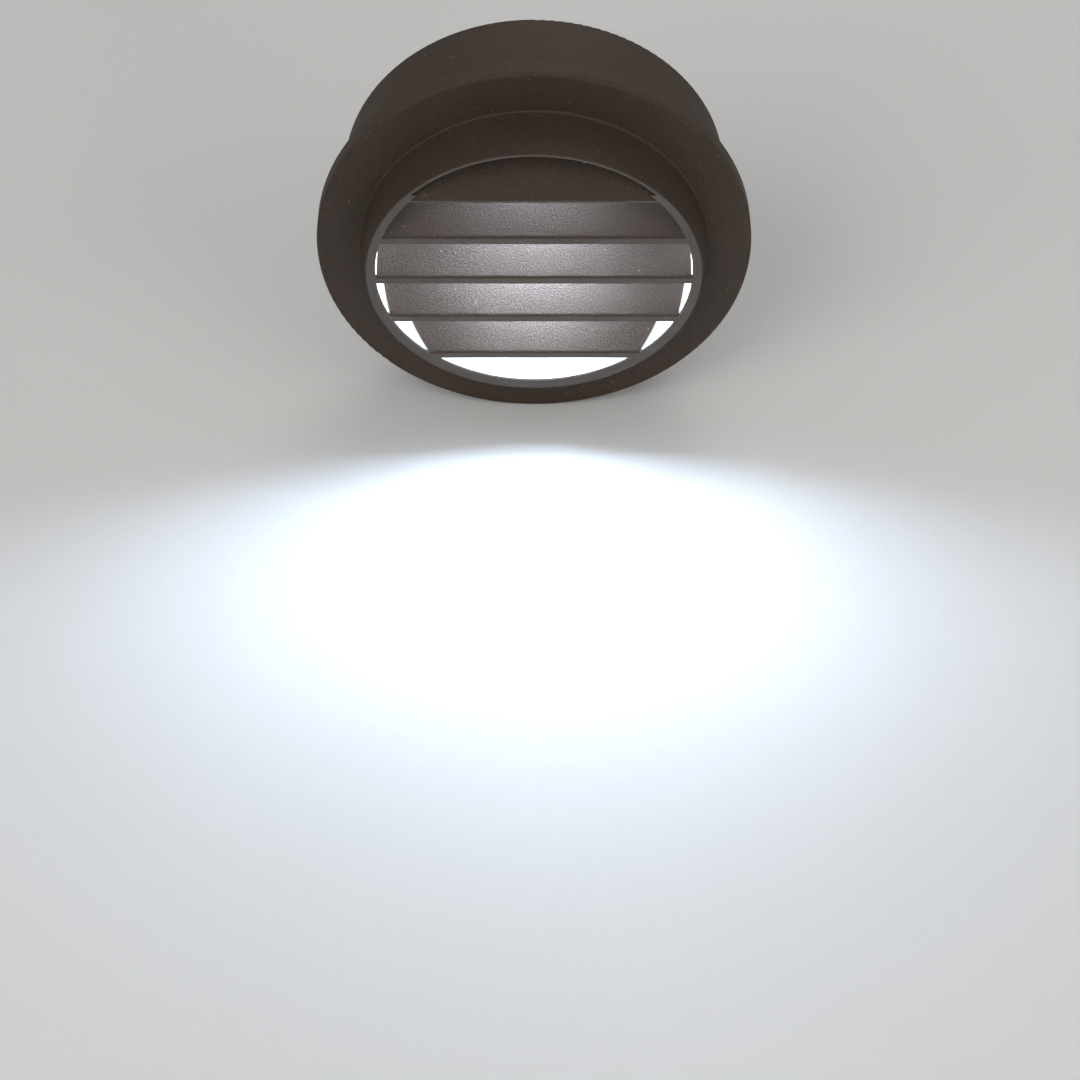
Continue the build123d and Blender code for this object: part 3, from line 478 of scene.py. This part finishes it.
def place_copies(master, name, stands):
    """Copy a master made at the origin to each place and turn, join the copies and drop the master."""
    copies = []
    for place, turn in stands:
        copy = master.copy()
        copy.data = master.data.copy()
        copy.location = place
        copy.rotation_euler = turn
        bpy.context.scene.collection.objects.link(copy)
        copies.append(copy)
    bpy.data.objects.remove(master)
    return join_pieces(name, copies)


def finish_piece(piece, body, slot, *nodes):
    """Smooth a finished piece, hand it to its body and hide the frame nodes that it replaces; the slot is not
    used.
    """
    bpy.ops.object.select_all(action="DESELECT")
    piece.select_set(True)
    bpy.context.view_layer.objects.active = piece
    bpy.ops.object.transform_apply(location=True, rotation=True, scale=True)
    bpy.ops.object.shade_smooth_by_angle(angle=SMOOTH_BELOW)
    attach(piece, body)
    if nodes:
        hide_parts(*nodes)
    print(piece.name, len(piece.data.polygons), "faces")


# %% [markdown]
# Each chip on the board is a mid-power package: a white moulded frame with a shallow cup, a yellow
# phosphor gel in the cup, and a tinned lead at each end. One is modelled and the other thirty-five are
# copies, because they come from one reel. The frame is a cube with its upright edges bevelled, the leads are
# its end faces pushed out, and the cup is two insets of its front face, with a third that crowns the gel.

# %% Light-emitting chips
CHIP_FRAME = Vector((3.3, 0.7, 2.8)) * MM
CHIP_CORNER = 0.25 * MM
CHIP_LEAD = 0.1 * MM
CHIP_WALL = 0.28 * MM
CUP_SLOPE = 0.22 * MM
GEL_EDGE, GEL_CROWN = 0.35 * MM, 0.06 * MM
CHIP_RINGS = ((10.0, 6), (21.0, 12), (32.0, 18))


def phosphor():
    """Phosphor gel, lit from below: warm, with fine grains of powder in it."""
    material, tree, shader, place = new_material(
        "phosphor_yellow", IOR=1.45, Roughness=0.3, Emission_Strength=2.0)
    speck = node(tree, "ShaderNodeTexNoise", {"Vector": place, "Scale": across(0.5), "Detail": 2.0})
    tint = blend_colours(tree, spread(tree, speck.outputs["Fac"], *NOISE_SPAN), "#f2cf4a", "#f7dc6d")
    tree.links.new(tint, shader.inputs["Base Color"])
    shader.inputs["Emission Color"].default_value = colour("#fff0b8")
    return material


def light_chip():
    """One package, its middle at the origin and its cup towards -Y."""
    chip = start_piece(bpy.ops.mesh.primitive_cube_add, "light_chip", size=1.0, scale=CHIP_FRAME)
    chip.data.materials.append(moulded("chip_frame_plastic", "#eeeeea", "#e4e3de", 0.4, 0.4))
    bpy.ops.object.mode_set(mode="EDIT")
    choose_edges(chip, lambda first, second: abs(first.y - second.y) > CHIP_FRAME.y / 2)
    bpy.ops.mesh.bevel(offset=CHIP_CORNER, segments=3)
    for way in (-1, 1):
        choose_faces(chip, lambda middle, normal: normal.x * way > FACING)
        bpy.ops.mesh.extrude_region_move(TRANSFORM_OT_translate={"value": (way * CHIP_LEAD, 0, 0)})
    choose_faces(chip, lambda middle, normal: abs(middle.x) > CHIP_FRAME.x / 2 + CHIP_LEAD / 4)
    paint_chosen(chip, tinned_copper)
    choose_faces(chip, lambda middle, normal: normal.y < -FACING and abs(middle.x) < CHIP_FRAME.x / 4)
    bpy.ops.mesh.inset(thickness=CHIP_WALL)
    bpy.ops.mesh.inset(thickness=CUP_SLOPE, depth=-CUP_SLOPE)
    paint_chosen(chip, phosphor())
    bpy.ops.mesh.inset(thickness=GEL_EDGE, depth=GEL_CROWN)
    bpy.ops.object.mode_set(mode="OBJECT")
    return chip


chip_y = board_front - CHIP_FRAME.y / 2
chip_stands = []
for ring_mm, count in CHIP_RINGS:
    for index in range(count):
        angle = math.tau * index / count
        place = (ring_mm * MM * math.cos(angle), chip_y, ring_mm * MM * math.sin(angle))
        chip_stands.append((place, (0, -angle, 0)))
chips = place_copies(light_chip(), "light_chip_packages", chip_stands)
finish_piece(chips, "housing", "phosphor_yellow", "light_chips")

# %% [markdown]
# The screws are pan heads with a cross recess and a rolled thread. The head is a cylinder with its front edge
# bevelled round, and two tapered bars cut the recess with a boolean, as a punch makes it. The thread is one
# triangular tooth, wound into a helix by the Screw modifier, round a core that ends in a chamfer. Every screw
# in the light is this one with other numbers.

# %% Pan-head screws
HEAD_SIDES = 40
HEAD_ROUND = 0.45
RECESS_LONG, RECESS_WIDE, RECESS_DEEP = 1.2, 0.3, 1.1
RECESS_TAPER = 0.5
THREAD_SIDES = 24
THREAD_PITCH = 0.5 * MM
TOOTH_R = 0.52 * THREAD_PITCH
CORE_INSET = 1.2 * TOOTH_R
TIP_CHAMFER = 0.4
THREAD_START = 1.5 * THREAD_PITCH
THREAD_SPARE = 2.2 * THREAD_PITCH
TO_FRONT, TO_BACK = (math.radians(90), 0, 0), (math.radians(-90), 0, 0)
SCREW_METALS = {"stainless_steel": stainless_steel, "brass": brass}


def cut_with(piece, cutter):
    """Take the cutter's shape out of the piece, and drop the cutter."""
    bpy.context.view_layer.objects.active = piece
    cut = piece.modifiers.new("recess", "BOOLEAN")
    cut.operation = "DIFFERENCE"
    cut.object = cutter
    bpy.ops.object.modifier_apply(modifier=cut.name)
    bpy.data.objects.remove(cutter)


def screw_head(radius, height):
    """A pan head that stands on the plane z = 0."""
    head = start_piece(bpy.ops.mesh.primitive_cylinder_add, "screw_head", vertices=HEAD_SIDES, radius=radius,
                       depth=height, location=(0, 0, height / 2))
    bpy.ops.object.mode_set(mode="EDIT")
    choose_faces(head, lambda middle, normal: normal.z > FACING)
    bpy.ops.mesh.bevel(offset=HEAD_ROUND * height, segments=6)
    bpy.ops.object.mode_set(mode="OBJECT")
    for turn in (0.0, math.radians(90)):
        size = (RECESS_LONG * radius, RECESS_WIDE * radius, RECESS_DEEP * height)
        bar = start_piece(bpy.ops.mesh.primitive_cube_add, "recess_bar", size=1.0, location=(0, 0, height),
                          rotation=(0, 0, turn), scale=size)
        bpy.ops.object.mode_set(mode="EDIT")
        choose_faces(bar, lambda middle, normal: normal.z < -FACING)
        bpy.ops.transform.resize(value=(RECESS_TAPER, RECESS_TAPER, 1.0))
        bpy.ops.object.mode_set(mode="OBJECT")
        cut_with(head, bar)
    return head


def screw_shank(radius, length):
    """A core with a chamfered tip below z = 0, and a 60 degree thread round it."""
    core = start_piece(bpy.ops.mesh.primitive_cylinder_add, "screw_core", vertices=THREAD_SIDES,
                       radius=radius - CORE_INSET, depth=length, location=(0, 0, -length / 2))
    bpy.ops.object.mode_set(mode="EDIT")
    choose_faces(core, lambda middle, normal: normal.z < -FACING)
    bpy.ops.mesh.bevel(offset=TIP_CHAMFER * radius, segments=1)
    bpy.ops.object.mode_set(mode="OBJECT")
    tooth = start_piece(bpy.ops.mesh.primitive_circle_add, "screw_tooth", vertices=3, radius=TOOTH_R,
                        location=(radius - TOOTH_R, 0, -length + THREAD_START),
                        rotation=(math.radians(90), math.radians(90), 0))
    helix = tooth.modifiers.new("helix", "SCREW")
    helix.iterations = math.floor((length - THREAD_SPARE) / THREAD_PITCH)
    helix.screw_offset = THREAD_PITCH
    helix.steps = helix.render_steps = THREAD_SIDES
    bpy.ops.object.modifier_apply(modifier=helix.name)
    bpy.ops.object.mode_set(mode="EDIT")
    bpy.ops.mesh.select_all(action="SELECT")
    bpy.ops.mesh.fill_holes(sides=3)
    bpy.ops.mesh.normals_make_consistent(inside=False)
    bpy.ops.object.mode_set(mode="OBJECT")
    return [core, tooth]


def pan_screws(name, size_mm, body, metal, stands, extra=()):
    """Threaded screws for one frame node: radius and height of the head, radius and length of the shank."""
    head_r, head_high, shank_r, length = (value * MM for value in size_mm)
    pieces = [screw_head(head_r, head_high), *screw_shank(shank_r, length)]
    master = join_pieces("screw", [*pieces, *extra])
    master.data.materials.append(SCREW_METALS[metal])
    finish_piece(place_copies(master, f"{name}_threaded", stands), body, metal, name)


def on_ring(ring_mm, y, count, first_degrees, turn):
    """Places and turns for a ring of screws about the lamp's axis."""
    stands = []
    for index in range(count):
        angle = math.radians(first_degrees) + math.tau * index / count
        stands.append(((ring_mm * MM * math.cos(angle), y, ring_mm * MM * math.sin(angle)), turn))
    return stands


ring_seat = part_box("retaining_ring")[1].y
tray_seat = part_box("gear_tray")[0].y
RING_SCREW = (2.1, 1.6, 1.25, 8.4)
TRAY_SCREW = (2.75, 2.0, 1.25, 8.9)
BOARD_SCREW = (2.5, 1.8, 1.25, 4.4)
pan_screws("ring_screws", RING_SCREW, "cover", "stainless_steel", on_ring(62.0, ring_seat, 6, 30, TO_BACK))
pan_screws("tray_screws", TRAY_SCREW, "housing", "stainless_steel", on_ring(61.5, tray_seat, 3, 90, TO_FRONT))
pan_screws("board_screws", BOARD_SCREW, "housing", "stainless_steel",
           on_ring(26.5, board_front, 3, 30, TO_FRONT))

# %% [markdown]
# The driver and the cable clamp are each held by a pair of the same screws. Their places are read from the
# frame's box of each pair, less the head's radius, so a moved driver keeps its screws.

# %% Driver and clamp screws
PAIR_SCREW = (2.4, 1.8, 1.25, 4.7)

for name in ("driver_screws", "clamp_screws"):
    low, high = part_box(name)
    head_r, head_high = PAIR_SCREW[0] * MM, PAIR_SCREW[1] * MM
    ear_face = low.y + head_high
    middle_z = (low.z + high.z) / 2
    pair = [((x, ear_face, middle_z), TO_FRONT) for x in (low.x + head_r, high.x - head_r)]
    pan_screws(name, PAIR_SCREW, "housing", "stainless_steel", pair)

# %% [markdown]
# The earth screw is brass and presses the ring terminal down with a toothed washer, whose teeth bite
# through any oxide. The washer is a flat cylinder: an inset of both faces, bridged, makes its hole, every
# second outer face is pushed out as a tooth, and one edge of each tooth goes up and the other down, which
# twists it.

# %% Earth screw and toothed washer
EARTH_SCREW = (3.1, 2.2, 1.5, 6.3)
TOOTH_COUNT = 12
WASHER_HIGH = 0.6 * MM
WASHER_SHEET = 0.34 * MM
WASHER_BODY_R = 3.2 * MM
WASHER_HOLE_R = 1.6 * MM
WASHER_MIDDLE_R = (WASHER_BODY_R + WASHER_HOLE_R) / 2
TOOTH_LONG = 0.6 * MM
TOOTH_TWIST = 0.12 * MM
TOOTH_SHARE = 0.5


def share_of_pitch(place):
    """How far round its tooth a place lies, from 0 to 1."""
    return (math.atan2(place.y, place.x) * TOOTH_COUNT / math.tau + 0.5) % 1.0


def toothed_washer():
    """An outside-toothed washer that hangs below the plane z = 0."""
    washer = start_piece(bpy.ops.mesh.primitive_cylinder_add, "toothed_washer", vertices=2 * TOOTH_COUNT,
                         radius=WASHER_BODY_R, depth=WASHER_SHEET, location=(0, 0, -WASHER_HIGH / 2))
    bpy.ops.object.mode_set(mode="EDIT")
    choose_faces(washer, lambda middle, normal: abs(normal.z) > FACING)
    bpy.ops.mesh.inset(thickness=WASHER_BODY_R - WASHER_HOLE_R)
    bpy.ops.mesh.bridge_edge_loops()
    choose_faces(washer, lambda middle, normal: abs(normal.z) < FACING
                 and middle.xy.length > WASHER_MIDDLE_R and share_of_pitch(middle) < TOOTH_SHARE)
    bpy.ops.mesh.extrude_faces_move(TRANSFORM_OT_shrink_fatten={"value": TOOTH_LONG})
    for rise, leading in ((TOOTH_TWIST, True), (-TOOTH_TWIST, False)):
        choose_edges(washer, lambda first, second: first.xy.length > WASHER_BODY_R + TOOTH_LONG / 2
                     and abs(first.z - second.z) > WASHER_SHEET / 2
                     and (share_of_pitch(first) > TOOTH_SHARE / 2) == leading)
        bpy.ops.transform.translate(value=(0, 0, rise))
    bpy.ops.object.mode_set(mode="OBJECT")
    return washer


low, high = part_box("earth_screw")
earth_place = ((low.x + high.x) / 2, low.y + EARTH_SCREW[1] * MM, (low.z + high.z) / 2)
pan_screws("earth_screw", EARTH_SCREW, "housing", "brass", [(earth_place, TO_FRONT)],
           extra=[toothed_washer()])

# %% [markdown]
# The two board leads end in solder on the light board: the insulation is cut back, the tinned strands lie
# on a pad, and solder wets both in a low dome. The dome is a sphere, stretched along the wire and cut off
# level with the board by bisect; the strands are a cylinder with a bevelled end that dips into it.

# %% Solder joints
LEAD_R = 1.0 * MM
LEAD_END_X = 36.0 * MM
JOINT_BACK = 1.2 * MM
PAD_SIZE = Vector((3.6, 0.06, 2.4)) * MM
PAD_CORNER = 0.6 * MM
DOME_R = 1.0 * MM
DOME_STRETCH = (1.5, 1.3, 0.95)
DOME_CAP = 0.8 * MM
DOME_CAP_SINK = 0.8
STRAND_R, STRAND_LONG, STRAND_ROUND = 0.5 * MM, 2.4 * MM, 0.15 * MM
strand_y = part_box("board_lead_plus")[0].y + LEAD_R
joint_x = LEAD_END_X - JOINT_BACK
strand_x = joint_x + JOINT_BACK / 2


def solder_joint(z):
    """Pad, dome and strands at one lead's end."""
    pad = start_piece(bpy.ops.mesh.primitive_cube_add, "solder_pad", size=1.0,
                      location=(joint_x, board_front - PAD_SIZE.y / 2, z), scale=PAD_SIZE)
    bpy.ops.object.mode_set(mode="EDIT")
    choose_edges(pad, lambda first, second: abs(first.y - second.y) > PAD_SIZE.y / 2)
    bpy.ops.mesh.bevel(offset=PAD_CORNER, segments=4)
    bpy.ops.object.mode_set(mode="OBJECT")
    centre = (joint_x, board_front, z)
    dome = start_piece(bpy.ops.mesh.primitive_uv_sphere_add, "solder_dome", segments=32, ring_count=16,
                       radius=DOME_R, location=centre)
    bpy.ops.object.mode_set(mode="EDIT")
    bpy.ops.mesh.select_all(action="SELECT")
    bpy.ops.transform.resize(value=DOME_STRETCH, center_override=centre)
    bpy.ops.mesh.bisect(plane_co=centre, plane_no=(0, 1, 0), use_fill=True, clear_outer=True)
    choose_faces(dome, lambda middle, normal: middle.y < board_front - DOME_CAP)
    bpy.ops.transform.resize(value=(1.0, DOME_CAP_SINK, 1.0))
    bpy.ops.object.mode_set(mode="OBJECT")
    strands = start_piece(bpy.ops.mesh.primitive_cylinder_add, "strands", vertices=24, radius=STRAND_R,
                          depth=STRAND_LONG, location=(strand_x, strand_y, z),
                          rotation=(0, math.radians(90), 0))
    bpy.ops.object.mode_set(mode="EDIT")
    choose_faces(strands, lambda middle, normal: normal.x < -FACING)
    bpy.ops.mesh.bevel(offset=STRAND_ROUND, segments=3)
    bpy.ops.object.mode_set(mode="OBJECT")
    return [pad, dome, strands]


joints = []
for lead in ("board_lead_plus", "board_lead_minus"):
    joints += solder_joint(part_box(lead)[0].z + LEAD_R)
joints = join_pieces("solder_joints", joints)
joints.data.materials.append(tinned_copper)
finish_piece(joints, "housing", "tinned_copper")

# %% [markdown]
# The studio is a pale floor that touches the flange's lowest point, one large soft lamp from the front
# left, a weaker one from the right, one from behind for the edge of the flange, and an even pale sky. They
# add up to a plain level, at which a colour renders about as it is written.

# %% Studio
FLOOR_GAP = 0.2 * MM
FLOOR_SIZE = 8.0
FLOOR_CLOUD_MM = 300.0
SKY_STRENGTH = 0.45

bpy.ops.object.select_all(action="DESELECT")
bpy.ops.mesh.primitive_plane_add(size=FLOOR_SIZE, location=(0, 0, -flange_r - FLOOR_GAP))
floor = bpy.context.object
floor.name = "studio_floor"
floor_material, floor_tree, floor_shader, floor_place = new_material("studio_floor", Roughness=0.7)
floor_cloud = node(floor_tree, "ShaderNodeTexNoise", {"Vector": floor_place, "Scale": across(FLOOR_CLOUD_MM)})
floor_tree.links.new(
    blend_colours(floor_tree, spread(floor_tree, floor_cloud.outputs["Fac"], *NOISE_SPAN),
                  "#c5c4c1", "#c9c8c5"),
    floor_shader.inputs["Base Color"])
floor.data.materials.append(floor_material)


def soft_lamp(name, place, watts, size):
    """A square lamp that faces the light's middle."""
    lamp_data = bpy.data.lights.new(name, "AREA")
    lamp_data.energy = watts
    lamp_data.size = size
    lamp = bpy.data.objects.new(name, lamp_data)
    lamp.location = place
    lamp.rotation_euler = (-Vector(place)).to_track_quat("-Z", "Y").to_euler()
    bpy.context.scene.collection.objects.link(lamp)


soft_lamp("key_lamp", (-0.7, -1.0, 1.1), watts=11.0, size=0.9)
soft_lamp("fill_lamp", (0.9, -0.8, 0.6), watts=5.0, size=0.9)
soft_lamp("back_lamp", (0.2, 0.9, 1.0), watts=4.0, size=0.6)

world = bpy.data.worlds.new("studio_sky")
world.use_nodes = True
sky = world.node_tree.nodes["Background"]
sky.inputs["Color"].default_value = colour("#f4f5f7")
sky.inputs["Strength"].default_value = SKY_STRENGTH
bpy.context.scene.world = world
bpy.context.scene.view_settings.view_transform = "Standard"
print("floor at", round(floor.location.z / MM, 1), "mm")
